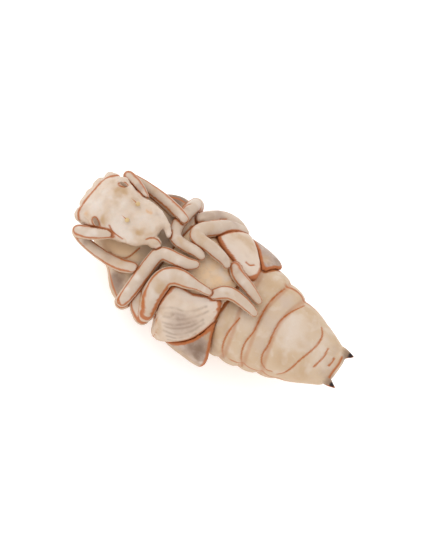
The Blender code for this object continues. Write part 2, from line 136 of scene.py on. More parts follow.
# Tints on the skin, as places in the picture: middle, radius in image points and strength
# Cream spots are painted highlights, and amber spots are painted light that lifts shaded hollows;
# tan, dark and lilac spots are mostly painted shade in hollows and on sides turned from the light.
TINTS = {
    "head": {
        "cream": ((95, 203, 9, 0.9), (105, 191, 5, 0.8), (112, 199, 4, 0.7), (123.6, 204, 7, 0.7),
                  (140, 218.6, 6, 0.7), (147, 217, 5, 0.6), (151, 225, 6, 0.6), (119, 226, 15, 0.8),
                  (128, 236, 6, 0.6), (111, 210, 5, 0.5), (100, 213, 4, 0.5), (133, 209, 4, 0.5)),
        "tan": ((121, 189, 8, 0.8), (103.5, 219, 6, 0.9), (126, 193, 6, 0.6), (140.7, 231.5, 5, 0.9),
                (148, 233, 4, 0.5), (90, 217, 6, 0.5), (112, 182, 6, 0.4)),
        "orange": ((146.6, 211.4, 3.0, 0.7), (151.6, 211.0, 3.0, 0.7), (86.4, 214.2, 4.0, 0.5),
                   (125.0, 237.5, 3.0, 0.4)),
        "lilac": ((80, 210, 9, 0.4), (158, 214, 6, 0.4), (137, 199, 8, 0.3)),
    },
    "prothorax": {
        "amber": ((112, 248, 14, 0.9), (128, 252, 12, 0.9), (136, 246, 8, 0.6)),
        "lilac": ((114, 283, 15, 0.9), (113, 297, 12, 0.8), (168, 222, 8, 0.6), (166, 242, 7, 0.5),
                  (188, 219, 8, 0.7)),
        "dark": ((119, 276, 7, 0.7), (113, 285, 14, 0.55), (121, 302, 5, 0.5), (176, 199, 15, 0.95)),
    },
    "thorax": {
        "tan": ((187, 258, 5, 0.3),),
        "cream": ((224, 273, 6, 0.6), (228, 279, 5, 0.5), (219, 266, 4, 0.4), (212, 262, 4, 0.3)),
        "dark": ((184, 232, 5, 0.5),),
    },
    "fore_leg_left": {
        "lilac": ((187, 208, 6, 0.6),),
        "cream": ((193, 200, 6, 0.7), (199, 205, 5, 0.6)),
        "tan": ((181, 240, 6, 0.6), (186, 248, 5, 0.5)),
    },
    "middle_leg_left": {
        "lilac": ((219, 214, 10, 0.6), (231, 221, 9, 0.6), (207, 214, 8, 0.6), (228, 230, 6, 0.4),
                  (226, 259, 5, 0.5), (198, 217, 5, 0.6)),
        "tan": ((200, 237, 8, 0.5), (210, 229, 8, 0.35), (205, 245, 6, 0.4)),
        "cream": ((197, 228, 5, 0.5),),
    },
    "fore_leg_right": {
        "tan": ((146, 283, 6, 0.7), (152, 274, 6, 0.7), (138, 294, 6, 0.7), (130, 303, 6, 0.6),
                (160, 262, 5, 0.4)),
        "cream": ((136, 277, 5, 0.7), (126, 289, 5, 0.8), (178, 262, 7, 0.5), (165, 252, 5, 0.6)),
    },
    "middle_leg_right": {
        "tan": ((163, 286, 8, 0.6), (154, 277, 7, 0.5), (141, 302, 8, 0.7), (176, 281, 7, 0.4),
                (184, 287, 6, 0.4), (149, 314, 7, 0.5), (158, 292, 6, 0.5)),
        "cream": ((152, 294, 6, 0.6), (186, 276, 8, 0.5), (166, 272, 6, 0.5), (205, 290, 4, 0.6)),
    },
    "elytron_right": {
        "cream": ((180, 291, 9, 0.5), (191, 296, 9, 0.5), (203, 301, 8, 0.6), (213, 302, 7, 0.6)),
        "tan": ((157, 322, 7, 0.6), (159, 332, 8, 0.6), (165, 342, 8, 0.6), (174, 345, 7, 0.5),
                (162, 309, 7, 0.5), (168, 297, 6, 0.4), (200, 333, 8, 0.4), (189, 341, 8, 0.4)),
        "lilac": ((190, 325, 15, 0.55), (176, 316, 11, 0.55), (176, 333, 12, 0.5)),
        "dark": ((168, 314, 4, 0.5), (176, 319.5, 4, 0.35)),
    },
    "elytron_left": {
        "cream": ((224, 240, 6, 0.6), (231, 248, 7, 0.6), (238, 257, 7, 0.6), (245, 265, 7, 0.6),
                  (250, 271, 5, 0.5)),
        "tan": ((240, 237, 9, 0.6), (250, 243, 9, 0.6), (256, 252, 8, 0.4), (229, 233, 6, 0.5)),
        "lilac": ((246, 256, 5, 0.3),),
    },
    "hind_wing_right": {
        "dark": ((199, 347, 10, 0.9), (192, 350, 7, 0.5), (199, 357, 7, 0.7)),
        "tan": ((209, 335, 6, 0.7), (208, 345, 6, 0.4), (181, 354, 6, 0.5), (190, 359, 5, 0.4)),
        "cream": ((196, 362, 3, 0.5), (203, 364, 4, 0.6)),
    },
    "hind_wing_left": {
        "tan": ((266, 259, 9, 0.6),),
        "dark": ((278, 260, 7, 0.5), (273, 253, 6, 0.5)),
        "cream": ((272, 266, 3, 0.4),),
    },
    "hind_leg_left": {
        "lilac": ((240, 271, 8, 0.5),),
        "cream": ((243, 283, 6, 0.5),),
    },
    "hind_leg_right": {
        "cream": ((222, 290, 6, 0.6),),
        "tan": ((229, 296, 5, 0.5),),
    },
    "antenna_right": {
        "cream": ((77, 226, 5, 0.8), (92, 233, 6, 0.7), (135, 269, 5, 0.6)),
        "lilac": ((112, 236, 5, 0.7), (86, 241, 5, 0.7), (107, 258, 6, 0.5)),
        "tan": ((120, 262, 8, 0.5), (106, 256, 9, 0.5)),
    },
    "antenna_left": {
        "cream": ((125, 176, 5, 0.8), (180, 220, 5, 0.5)),
        "lilac": ((139, 186, 6, 0.7), (134, 190, 5, 0.5)),
        "tan": ((152, 192, 6, 0.5), (170, 210, 6, 0.4)),
    },
    "abdomen": {
        "tan": ((270, 284, 13, 0.5), (283, 292, 9, 0.4), (218, 312, 10, 0.7), (212, 335, 10, 0.8),
                (226, 355, 10, 0.6), (301, 301, 8, 0.4), (283, 361, 14, 0.5), (248, 360, 10, 0.5),
                (300, 378, 12, 0.5), (314, 320, 9, 0.4), (262, 375, 9, 0.6)),
        "pink": ((285.8, 300.8, 10, 0.9), (272, 323, 14, 0.7), (259, 345, 12, 0.6)),
        "cream": ((248, 323, 14, 0.4), (294, 332, 18, 0.6), (286, 343, 10, 0.25), (293, 319, 10, 0.3),
                  (318, 356, 17, 0.45), (323, 340, 10, 0.3), (241, 309, 8, 0.25)),
        "lilac": ((331, 362, 13, 0.35), (326, 375, 9, 0.35), (336, 347, 8, 0.35), (225, 329, 8, 0.3)),
    },
}

# Grooves between the abdomen's rings, mm along the body: on the venter, right, left and back
RING_EDGES = (
    (1.059, 1.579, 0.889, 1.439),
    (1.759, 2.239, 1.979, 1.989),
    (2.379, 2.859, 2.699, 2.559),
)
RING_CENTRE = (0.06, 2.0)  # to the left of and above the origin, mm
FLANK_FOLDS = (-3, 152)  # angle round the abdomen of the fold along each flank, from its right side
FOLDS_START = (1.7, 1.9)  # mm along the body where the folds begin and are full

# Upward part of the skin's direction along the rusty line on a limb's right and left side
SIDE_LINES = (0.38, 0.72)
STEEP_SIDE_LINES = (0.38, 0.22)
STEEP_LIMBS = ("fore_leg_left", "middle_leg_left")  # these lie down the flank

# Where rust, colour or relief is full and where it has faded out
SEAM_RUST = (0.3, 1.1)  # from a crease, in widths of a crease
SEAM_PRESS = (0, 2.2)  # the same
STRIA_FADE = (0, 1.7)  # the same
GROOVE_FADE = (0.02, 0.12)  # from a groove between two rings, mm
CONTACT_FADE = (0.042, 0.070)  # from another solid, mm
FOLD_FADE = (0.025, 0.075)  # from a drawn fold, mm
FLANK_FADE = (0.03, 0.08)  # from the fold along a flank, mm
SIDE_FADE = (0.08, 0.18)  # from a limb's side line, as an upward part of the skin's direction
RIM_BEND = (2.6, 4.0)  # roundness per mm where the edge of a flap begins to rust and is full
UNDERSIDE_SHADE_SLOPES = (-0.3, 0.55)  # upward part of the skin's direction between the underside, tinted tan as painted shade, and the rest
SPINE_BROWN = (0.26, 0.60)  # from the tip of a tail spine, mm
SPINE_BLACK = (0.12, 0.34)  # the same
SPINE_RUST = (0.20, 0.34)  # the same, for the rust on its sides
SPINE_TIP = (0.03, 0.09)  # the same, for the rust at its very tip
SPINE_SIDES = (0.35, 0.65)  # upright part of the skin's direction on a spine's sides and on its top

LINE_RUST = 0.9  # how fully the rust of a line covers the skin
GROOVE_RUST = 0.35  # the same in a groove between two rings
BROWN = 0.7  # how fully the brown of the tail spines covers it
GROOVE_PRESS = 0.5  # of a crease's depth
STRIA_PRESS = 0.15  # of a crease's depth
CONTACT_REACH = 0.12  # mm
PATCH_SPREAD = 1.6  # how far a tint fades out, in radii of its place
STRAY_SIZE = 0.30  # size of the waves along the edge of a tint, mm
STRAY_REACH = 0.16  # their height, mm

MERGE = 0.0005  # mm between points that are one
LUMP_SIZE = 0.45  # mm
KNOB_SIZE = 0.16  # of the knobs on the head, mm
KNOB_HEIGHT = 0.07  # mm from hollow to knob
COARSE_FULLNESS = 0.9  # share of the skin's fullness that the trunk and head take
FINE_FULLNESS = 1.3  # and that the limbs and pads take
BEND_ROUNDS = 8  # how often the roundness of a flap is evened out

# Points of each tail spine's middle line, mm, and the thickness there as a radius
TAIL_SPINES = {
    "tail_spine_left": (
        (4.20, 0.36, 2.76, 0.22), (4.38, 0.45, 2.87, 0.21), (4.50, 0.50, 2.94, 0.175),
        (4.60, 0.535, 2.99, 0.135), (4.69, 0.55, 3.03, 0.098), (4.77, 0.552, 3.06, 0.068),
        (4.85, 0.543, 3.085, 0.041), (4.92, 0.525, 3.10, 0.014),
    ),
    "tail_spine_right": (
        (4.24, -0.44, 2.78, 0.21), (4.42, -0.52, 2.87, 0.20), (4.56, -0.58, 2.94, 0.172),
        (4.68, -0.62, 2.99, 0.138), (4.77, -0.642, 3.03, 0.104), (4.85, -0.655, 3.06, 0.072),
        (4.92, -0.663, 3.085, 0.043), (4.985, -0.672, 3.10, 0.014),
    ),
}
# Place, half length, half width and turn about the up axis, mm and degrees
EYES = {
    "eye_right": ((95.8, 221.8), 0.145, 0.07, 60),
    "eye_left": ((123.9, 184.5), 0.15, 0.06, 12),
}
# Lobes round the head's edge, mm: place, radius and height
HEAD_LOBES = (
    ((-4.70, -0.80, 2.30), 0.26, 0.02),
    ((-4.84, -0.44, 2.22), 0.24, 0.06),
    ((-4.84, -0.10, 2.20), 0.24, 0.06),
    ((-4.82, 0.30, 2.22), 0.26, 0.06),
    ((-4.62, 0.68, 2.30), 0.28, 0.02),
)
# Tubercles of the snout: place in the picture and radius, mm
TUBERCLES = {
    "tubercle_right": ((126.6, 219.6), 0.078),
    "tubercle_left": ((137.3, 203.9), 0.078),
}
TUBERCLE_RISE = 0.4  # of its radius
EYE_RISE = 0.05  # mm
# Root and tip of each hair in the picture
HAIRS = {
    "hair_right": ((126.4, 219.2), (122.0, 215.4)),
    "hair_left": ((137.2, 203.4), (131.6, 198.4)),
}
HAIR_LIFT = 0.16  # mm that the tip stands off the head
HAIR_BOW = 0.10  # mm that the middle is pulled aside
HAIR_RADIUS = 0.02  # mm at the root
HAIR_TAPER = 0.75  # share of the radius that is gone at the tip
HAIR_STEPS = 7

KEY_SIZE = 0.10  # metres
KEY_DISTANCE = 0.14  # metres from the aim
KEY_HEADING = (-0.35, -0.75, 0.8)  # shares towards the picture's right, its bottom and the viewer
FLOOR_DROP = 0.001  # mm that the floor lies under the body


def tone(red, green, blue):
    """A screen colour as the linear red, green and blue that Blender works in."""
    return tuple(round((level / 255) ** 2.2, 4) for level in (red, green, blue))


def colour_property(name, description, red, green, blue):
    return FloatVectorProperty(
        name=name, description=description, subtype="COLOR", size=3, min=0, max=1,
        default=tone(red, green, blue),
    )


class WeevilSkin(bpy.types.PropertyGroup):
    """How the skin is grown over the solids."""

    limb_grain: FloatProperty(
        name="Limb Grain", description="Size of the faces on limbs and pads", unit="LENGTH",
        default=0.032 * MM, precision=6,
    )
    trunk_grain: FloatProperty(
        name="Trunk Grain", description="Size of the faces on the trunk and head", unit="LENGTH",
        default=0.038 * MM, precision=6,
    )
    rounds: IntProperty(
        name="Rounds", description="How often the grown skin is smoothed", default=9, min=0,
    )
    fullness: FloatProperty(
        name="Fullness", description="How far the skin stands out to make up for smoothing", unit="LENGTH",
        default=0.020 * MM, precision=6,
    )
    unevenness: FloatProperty(
        name="Unevenness", description="Height of the soft lumps in the skin", unit="LENGTH",
        default=0.012 * MM, precision=6,
    )
    seam_depth: FloatProperty(
        name="Seam Depth", description="Depth of a crease in the skin", unit="LENGTH", default=0.025 * MM,
        precision=6,
    )
    seam_width: FloatProperty(
        name="Seam Width", description="Width of a crease in the skin", unit="LENGTH", default=0.042 * MM,
        precision=6,
    )


class WeevilColours(bpy.types.PropertyGroup):
    """Colours of the dry pupa, some of them also laid on as painted highlights, light and shade."""

    beige: colour_property("Beige", "Main colour of the head and wings", 212, 191, 172)
    flesh: colour_property("Flesh", "Main colour of the limbs", 200, 179, 160)
    sand: colour_property("Sand", "Main colour of the trunk", 201, 175, 147)
    # Cream is also laid on as painted highlights, besides its random pale washes
    cream: colour_property("Cream", "Palest, thin skin", 217, 202, 189)
    # Amber is painted light: paler warm skin between the limbs that offsets the shade of these hollows
    amber: colour_property("Amber", "Warm skin between the limbs", 226, 194, 157)
    # Tan is also painted shade in the hollows, on undersides and on sides turned from the light
    tan: colour_property("Tan", "Deeper skin in the hollows", 186, 152, 116)
    # Lilac is also laid on as painted shade, on the prothorax's sides among others
    lilac: colour_property("Lilac", "Greyish skin of the wings and knees", 168, 144, 129)
    pink: colour_property("Pink", "Rosy blotches on the rings", 197, 174, 155)
    # Dark is painted shade in the deepest hollows, besides the brown of the tail spines and the striae
    dark: colour_property("Dark", "Deepest hollows", 128, 102, 84)
    rust: colour_property("Rust", "Creases and edges", 172, 94, 40)
    orange: colour_property("Orange", "Small pores on the snout", 210, 158, 108)
    spine: colour_property("Spine", "Hardened tips of the tail", 40, 26, 24)
    eye: colour_property("Eye", "Eyes under the skin", 164, 134, 110)
    wax: colour_property("Wax", "Yellowish tubercles", 208, 178, 128)


class WeevilStage(bpy.types.PropertyGroup):
    """Camera, floor and light."""

    roll: FloatProperty(
        name="Roll", description="How far the view is rolled to the animal's right side", subtype="ANGLE",
        default=math.radians(19),
    )
    turn: FloatProperty(
        name="Turn", description="How far the body points down in the picture", subtype="ANGLE",
        default=math.radians(37.1),
    )
    aim: FloatVectorProperty(
        name="Aim", description="Point in the middle of the picture", subtype="TRANSLATION", size=3,
        default=(-0.160 * MM, 0.230 * MM, 1.6 * MM),
    )
    distance: FloatProperty(
        name="Distance", description="From the camera to the aim", unit="LENGTH", default=99.56 * MM,
    )
    lens: FloatProperty(name="Lens", description="Focal length in millimetres", default=200, min=1)
    floor_size: FloatProperty(
        name="Floor Size", description="Side of the floor", unit="LENGTH", default=0.6,
    )
    sky: FloatProperty(name="Sky", description="Strength of the light from all round", default=0.98, min=0)
    key: FloatProperty(name="Key", description="Power of the main soft light, watts", default=0.035, min=0)
    glow: FloatProperty(
        name="Glow", description="Light that the floor gives, as a light table does", default=0.36, min=0,
    )


def stage_settings():
    return bpy.context.scene.weevil_stage


def skin_settings():
    return bpy.context.scene.weevil_skin


def colour(name):
    return (*getattr(bpy.context.scene.weevil_colours, name), 1.0)


class Wire:
    """A socket in a material that Python's operators can work on."""

    def __init__(self, tree, socket=None):
        self.tree = tree
        self.socket = socket

    def made(self, kind, settings=None, inputs=None, output=0):
        """Adds a node, with its settings first and then its inputs, and gives one of its outputs."""
        node = self.tree.nodes.new(kind)
        for name, value in (settings or {}).items():
            setattr(node, name, value)
        for name, value in (inputs or {}).items():
            if isinstance(value, Wire):
                self.tree.links.new(value.socket, node.inputs[name])
            else:
                node.inputs[name].default_value = value
        return Wire(self.tree, node.outputs[output])

    def maths(self, operation, first, second=0.0):
        return self.made("ShaderNodeMath", {"operation": operation}, {0: first, 1: second})

    def __add__(self, other):
        return self.maths("ADD", self, other)

    __radd__ = __add__

    def __mul__(self, other):
        return self.maths("MULTIPLY", self, other)

    __rmul__ = __mul__

    def __sub__(self, other):
        return self.maths("SUBTRACT", self, other)

    def __rsub__(self, other):
        return self.maths("SUBTRACT", other, self)

    def rising(self, low, high):
        """0 below the low value, 1 above the high one and a smooth rise between them."""
        return self.made(
            "ShaderNodeMapRange", {"interpolation_type": "SMOOTHSTEP"}, {0: self, 1: low, 2: high}
        )

    def mixed(self, below, above, share):
        """One colour laid over another by a share."""
        return self.made(
            "ShaderNodeMix", {"data_type": "RGBA"}, {0: share, 6: below, 7: above}, output=2
        )

    def attribute(self, name):
        return self.made("ShaderNodeAttribute", {"attribute_name": name}, output="Fac")


def new_material(name):
    material = bpy.data.materials.new(name)
    material.use_nodes = True
    tree = material.node_tree
    return material, tree.nodes["Principled BSDF"], Wire(tree)


def cuticle(name, base, deep="tan", clouding=1.0):
    """Waxy skin with washes of colour, tinted where the piece says, tan as painted shade where it faces down,
    and rusty in its creases.
    """
    material, shader, wire = new_material(name)
    place = wire.made("ShaderNodeTexCoord", output="Object")
    place = wire.made("ShaderNodeVectorMath", {"operation": "SCALE"}, {0: place, "Scale": 1 / MM})

    def clouds(scale, detail, offset):
        shift = (offset, -offset, offset)
        shifted = wire.made("ShaderNodeVectorMath", {"operation": "ADD"}, {0: place, 1: shift})
        form = {"Vector": shifted, "Scale": scale, "Detail": detail, "Distortion": 0.4}
        return wire.made("ShaderNodeTexNoise", None, form)

    blotch, wash = clouds(1.1, 2, 3.1), clouds(2.3, 3, 8.7)
    mottle, grain = clouds(6.5, 3, 1.9), clouds(22, 4, 5.3)
    tint = wire.mixed(colour(base), colour("cream"), wash.rising(0.50, 0.64) * 0.35 * clouding)
    tint = wire.mixed(tint, colour(deep), blotch.rising(0.50, 0.66) * 0.40 * clouding)
    tint = wire.mixed(tint, colour("pink"), mottle.rising(0.52, 0.68) * 0.30 * clouding)
    tint = wire.mixed(tint, colour("cream"), (1 - mottle).rising(0.58, 0.72) * 0.25 * clouding)
    wobble = (mottle - 0.5) * 0.5 + (grain - 0.5) * 0.3
    # Laid-on tints: partly the skin's own colour, partly painted highlights (cream), painted light (amber)
    # and painted shade (tan, dark, lilac)
    for patch in ("amber", "tan", "lilac", "pink", "cream", "dark", "orange"):
        share = wire.attribute(patch)
        tint = wire.mixed(tint, colour(patch), (share + share * wobble).rising(0.05, 0.95))
    # Painted shade: tan laid over the skin where it faces down
    tint = wire.mixed(tint, colour("tan"), wire.attribute("under") * 0.7)
    tint = wire.mixed(tint, colour("dark"), wire.attribute("stria") * (wash.rising(0.38, 0.60) * 0.30 + 0.14))
    tint = wire.mixed(tint, colour("spine"), (wire.attribute("hard") + wobble * 0.6).rising(0.35, 0.85))
    tint = wire.mixed(tint, colour("rust"), wire.attribute("edge"))
    wire.tree.links.new(tint.socket, shader.inputs["Base Color"])
    rough = mottle * 0.22 + 0.40
    wire.tree.links.new(rough.socket, shader.inputs["Roughness"])
    relief = mottle * 0.6 + grain * 0.25
    bump = wire.made(
        "ShaderNodeBump", None, {"Height": relief, "Strength": 0.25, "Distance": 0.02 * MM}
    )
    wire.tree.links.new(bump.socket, shader.inputs["Normal"])
    shader.inputs["Specular IOR Level"].default_value = 0.25
    shader.inputs["Subsurface Weight"].default_value = 0.05
    shader.inputs["Subsurface Radius"].default_value = (1.0, 0.55, 0.32)
    shader.inputs["Subsurface Scale"].default_value = 0.15 * MM
    shader.inputs["Coat Weight"].default_value = 0.05
    shader.inputs["Coat Roughness"].default_value = 0.35
    return material


def only(piece):
    """Leaves one object selected and active."""
    bpy.ops.object.select_all(action="DESELECT")
    piece.select_set(True)
    bpy.context.view_layer.objects.active = piece


def shaped_by(piece, kind, **settings):
    """Adds a modifier to a piece and applies it."""
    modifier = piece.modifiers.new(kind.lower(), kind)
    for name, value in settings.items():
        setattr(modifier, name, value)
    only(piece)
    bpy.ops.object.modifier_apply(modifier=modifier.name)


def sized(piece, factor):
    """Scales a piece about the origin and applies the scale."""
    piece.scale = (factor, factor, factor)
    only(piece)
    bpy.ops.object.transform_apply(location=False, rotation=False, scale=True)


def points_of(piece):
    points = np.empty(len(piece.data.vertices) * 3)
    piece.data.vertices.foreach_get("co", points)
    return points.reshape(-1, 3)


def normals_of(piece):
    normals = np.empty(len(piece.data.vertices) * 3)
    piece.data.vertices.foreach_get("normal", normals)
    return normals.reshape(-1, 3)


def place_points(piece, points):
    piece.data.vertices.foreach_set("co", points.ravel())
    piece.data.update()


def paint(piece, name, values):
    """Stores one number for each point of a piece under a name that the materials read."""
    layer = piece.data.attributes.new(name, "FLOAT", "POINT")
    layer.data.foreach_set("value", np.clip(values, 0, 1).astype(np.float32))


def falling(distance, near, far):
    """1 within the near distance, 0 beyond the far one and a smooth fall between them."""
    share = np.clip((far - distance) / (far - near), 0, 1)
    return share * share * (3 - 2 * share)


def tip_distance(points):
    """How far each point lies from the nearest tip of a tail spine."""
    tips = [np.array(stations[-1][:3]) for stations in TAIL_SPINES.values()]
    return np.min([np.linalg.norm(points - tip, axis=1) for tip in tips], axis=0)


def paint_spines(piece, points):
    """Darkens a skin towards the tips of the tail spines: brown at first, then nearly black."""
    away = tip_distance(points)
    paint(piece, "dark", falling(away, *SPINE_BROWN) * BROWN)
    paint(piece, "hard", falling(away, *SPINE_BLACK))


def spine_edge(points, normals):
    """Where a tail spine is rusty: along both its sides and at its very tip."""
    away = tip_distance(points)
    sides = falling(np.abs(normals[:, 2]), *SPINE_SIDES) * falling(away, *SPINE_RUST)
    return np.maximum(sides, falling(away, *SPINE_TIP))


def surface_tree(piece, unit=1.0):
    """A search tree of a mesh in millimetres, whose points are stored in the given unit."""
    faces = [tuple(face.vertices) for face in piece.data.polygons]
    return BVHTree.FromPolygons([tuple(vertex.co / unit) for vertex in piece.data.vertices], faces)


def node_trees():
    """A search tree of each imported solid."""
    return {name: surface_tree(node, MM) for name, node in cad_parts.items()}


def view_axes():
    """The camera's right, down and backward directions."""
    stage = stage_settings()
    along = Vector((1, 0, 0))
    across = Vector((0, -math.cos(stage.roll), -math.sin(stage.roll)))
    right = math.cos(stage.turn) * along - math.sin(stage.turn) * across
    down = math.sin(stage.turn) * along + math.cos(stage.turn) * across
    return right, down, down.cross(right)


def camera_place():
    stage = stage_settings()
    return Vector(stage.aim) + view_axes()[2] * stage.distance


def seen_at(tree, point):
    """The place on a surface in millimetres that the picture shows at a point, with its normal."""
    right, down, back = view_axes()
    focal = stage_settings().lens / SENSOR * max(IMAGE_SIZE)
    across, below = point[0] - IMAGE_SIZE[0] / 2, point[1] - IMAGE_SIZE[1] / 2
    heading = (right * across + down * below - back * focal).normalized()
    return tree.ray_cast(camera_place() / MM, heading)[:2]


def curve_points(corners, step=1.2):
    """Points about a step apart on a smooth curve through the corners."""
    corners = np.asarray(corners, float)
    knots = np.concatenate(([0], np.cumsum(np.linalg.norm(np.diff(corners, axis=0), axis=1))))
    slopes = np.gradient(corners, knots, axis=0)
    at = np.linspace(0, knots[-1], int(knots[-1] / step) + 2)
    low = np.clip(np.searchsorted(knots, at, side="right") - 1, 0, len(knots) - 2)
    span = (knots[low + 1] - knots[low])[:, None]
    t = (at - knots[low])[:, None] / span
    start = corners[low] * (2 * t**3 - 3 * t**2 + 1) + slopes[low] * span * (t**3 - 2 * t**2 + t)
    end = corners[low + 1] * (3 * t**2 - 2 * t**3) + slopes[low + 1] * span * (t**3 - t**2)
    return start + end


def wandering(points, size, reach):
    """The points, each pushed a little aside so that a patch drawn with them has an uneven edge."""
    return points + reach * np.array([noise.noise_vector(Vector(point) / size) for point in points])


def distance_to_lines(points, tree, lines):
    """How far each point of a skin lies from the lines drawn on it."""
    hits = [seen_at(tree, corner)[0] for line in lines for corner in curve_points(line)]
    hits = [hit for hit in hits if hit is not None]
    if not hits:
        return np.full(len(points), np.inf)
    nearest = KDTree(len(hits))
    for index, hit in enumerate(hits):
        nearest.insert(hit, index)
    nearest.balance()
    return np.array([nearest.find(point)[2] for point in points])


def distance_to_others(points, name, trees, reach):
    """How far each point of a skin lies from the other solids, up to a reach."""
    others = [tree for other, tree in trees.items() if other != name]
    distance = np.full(len(points), reach)
    for tree in others:
        for index, point in enumerate(points):
            found = tree.find_nearest(point, distance[index])[3]
            if found is not None:
                distance[index] = found
    return distance


def ring_line(edge, turn):
    """Where a groove between two rings runs at each angle round the trunk."""
    venter, right, left, back = edge
    side = right * (1 + np.cos(turn)) / 2 + left * (1 - np.cos(turn)) / 2
    below = np.clip(np.sin(turn), 0, 1) ** 1.5
    above = np.clip(-np.sin(turn), 0, 1) ** 1.5
    return side + (venter - side) * below + (back - side) * above


def ring_grooves(points):
    """How near each point of the abdomen is to a groove between two rings."""
    turn = np.arctan2(points[:, 2] - RING_CENTRE[1], RING_CENTRE[0] - points[:, 1])
    offset = np.min([np.abs(points[:, 0] - ring_line(edge, turn)) for edge in RING_EDGES], axis=0)
    return falling(offset, *GROOVE_FADE)


def flank_folds(points):
    """How near each point of the abdomen is to the fold along one of its flanks."""
    across, above = RING_CENTRE[0] - points[:, 1], points[:, 2] - RING_CENTRE[1]
    away = np.full(len(points), np.inf)
    for turn in np.radians(FLANK_FOLDS):
        outward = across * np.cos(turn) + above * np.sin(turn)
        aside = np.abs(above * np.cos(turn) - across * np.sin(turn))
        away = np.where(outward > 0, np.minimum(away, aside), away)
    return falling(away, *FLANK_FADE) * (1 - falling(points[:, 0], *FOLDS_START))


def added(name):
    """The object that an operator has just added, named with its mesh."""
    piece = bpy.context.object
    piece.name = name
    piece.data.name = name
    return piece


def ball(name, radius, placing):
    """A sphere brought to its place, and to its form where it isn't round, by a matrix."""
    bpy.ops.object.select_all(action="DESELECT")
    bpy.ops.mesh.primitive_uv_sphere_add(segments=24, ring_count=16, radius=radius)
    piece = added(name)
    piece.data.transform(placing)
    return piece


def bare_copy(node):
    """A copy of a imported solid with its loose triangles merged, in millimetres."""
    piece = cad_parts[node].copy()
    piece.data = piece.data.copy()
    piece.name = node + "_skin"
    piece.data.name = piece.name
    piece.parent = None
    for key in list(piece.keys()):
        del piece[key]
    bpy.context.scene.collection.objects.link(piece)
    only(piece)
    bpy.ops.object.mode_set(mode="EDIT")
    bpy.ops.mesh.select_all(action="SELECT")
    bpy.ops.mesh.remove_doubles(threshold=MERGE * MM)
    bpy.ops.mesh.normals_make_consistent(inside=False)
    bpy.ops.object.mode_set(mode="OBJECT")
    sized(piece, 1 / MM)
    return piece


def swell(piece, lobes):
    """Raises round lobes on a piece, each a place, a radius and a height."""
    points, normals = points_of(piece), normals_of(piece)
    rise = np.zeros(len(points))
    for place, radius, height in lobes:
        away = np.linalg.norm(points - np.array(place), axis=1)
        rise = np.maximum(rise, height * np.sqrt(np.clip(1 - (away / radius) ** 2, 0, 1)))
    place_points(piece, points + normals * rise[:, None])
    shaped_by(piece, "SMOOTH", factor=0.5, iterations=2)


def lumps(name, size):
    texture = bpy.data.textures.new(name, "CLOUDS")
    texture.noise_scale = size
    texture.noise_depth = 2
    return texture


def grown_skin(node, grain, fullness, unevenness):
    """Smooth living skin over a solid: merged, subdivided, meshed anew, smoothed and filled out."""
    skin = skin_settings()
    piece = bare_copy(node)
    shaped_by(piece, "SUBSURF", levels=2, render_levels=2)
    shaped_by(piece, "REMESH", mode="VOXEL", voxel_size=grain / MM)
    shaped_by(piece, "SMOOTH", factor=0.5, iterations=skin.rounds)
    shaped_by(piece, "DISPLACE", mid_level=0.0, strength=fullness / MM)
    shaped_by(
        piece, "DISPLACE", texture=lumps(node + "_lumps", LUMP_SIZE), texture_coords="LOCAL", mid_level=0.5,
        strength=2 * unevenness / MM,
    )
    if node == "head":
        swell(piece, HEAD_LOBES)
        shaped_by(
            piece, "DISPLACE", texture=lumps("head_knobs", KNOB_SIZE), texture_coords="LOCAL",
            mid_level=0.5, strength=KNOB_HEIGHT,
        )
    return piece


def side_lines(node, normals):
    """How near each point of a limb is to the rusty line along either side of it."""
    leftward = normals[:, 1] / np.maximum(np.hypot(normals[:, 0], normals[:, 1]), 1e-6)
    right, left = STEEP_SIDE_LINES if node in STEEP_LIMBS else SIDE_LINES
    height = right + (left - right) * (1 + leftward) / 2
    return falling(np.abs(normals[:, 2] - height), *SIDE_FADE)


def roundness(piece, normals):
    """How sharply a skin is rounded at each point, per mm: high along the thin edge of a flap."""
    points = points_of(piece)
    ends = np.empty(len(piece.data.edges) * 2, np.int32)
    piece.data.edges.foreach_get("vertices", ends)
    first, second = ends.reshape(-1, 2).T
    along = points[second] - points[first]
    bend = np.sum((normals[second] - normals[first]) * along, axis=1) / np.sum(along * along, axis=1)
    count = np.bincount(first, minlength=len(points)) + np.bincount(second, minlength=len(points))
    bend = (np.bincount(first, bend, len(points)) + np.bincount(second, bend, len(points))) / count
    for _ in range(BEND_ROUNDS):
        spread = np.bincount(first, bend[second], len(points)) + np.bincount(second, bend[first], len(points))
        bend = (bend + spread / count) / 2
    return bend


